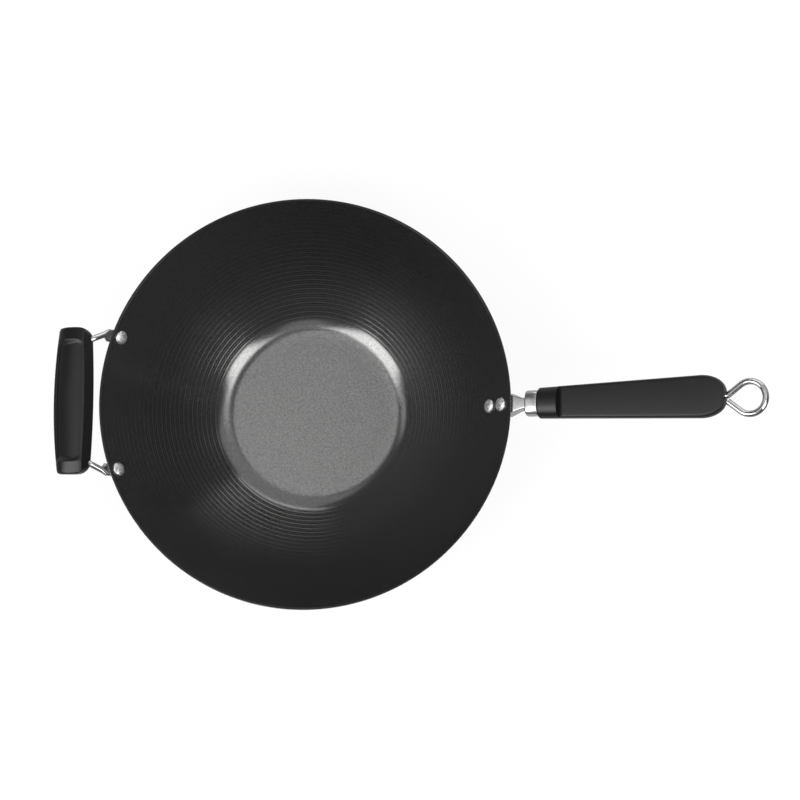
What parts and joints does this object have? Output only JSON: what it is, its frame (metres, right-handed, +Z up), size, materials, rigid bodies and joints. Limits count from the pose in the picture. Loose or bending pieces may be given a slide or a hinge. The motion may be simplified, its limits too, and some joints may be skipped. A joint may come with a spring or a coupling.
{
  "type": "flat-bottom wok",
  "caption": "Wide steel wok with a small flat base and flared wall, a long riveted handle with a ferrule and wire hanging eye, and a riveted helper handle opposite.",
  "frame": {"origin": "middle of the flat base's underside", "axes": "+Z up out of the open pan, +X along the long handle away from the pan, the helper handle at -X"},
  "size_m": [0.607, 0.355, 0.1733],
  "materials": {
    "pan_coating": "satin dark non-stick coating with fine turned grooves on steel sheet",
    "bright_steel": "bright plated steel",
    "rivet_aluminium": "satin",
    "black_moulding": "matt black moulding"
  },
  "bodies": {
    "pan_and_handles": {"pan_shell": "pan_coating", "long_handle_bracket": "bright_steel", "long_handle_rivet_upper": "rivet_aluminium", "long_handle_rivet_lower": "rivet_aluminium", "long_handle_nut": "bright_steel", "long_handle_ferrule": "bright_steel", "long_handle_grip": "black_moulding", "helper_bracket": "bright_steel", "helper_rivet_left": "rivet_aluminium", "helper_rivet_right": "rivet_aluminium", "helper_grip_upper": "black_moulding", "helper_grip_lower": "black_moulding", "helper_screw_left": "bright_steel", "helper_screw_right": "bright_steel"},
    "eye": {"hanging_eye": "bright_steel"}
  },
  "joints": [
    {"name": "hanging_eye_turn", "type": "hinge", "parent": "pan_and_handles", "child": "eye", "pos_m": [0.1775, 0, 0.08935], "axis": [0.9336, 0, 0.3584], "continuous": true}
  ]
}
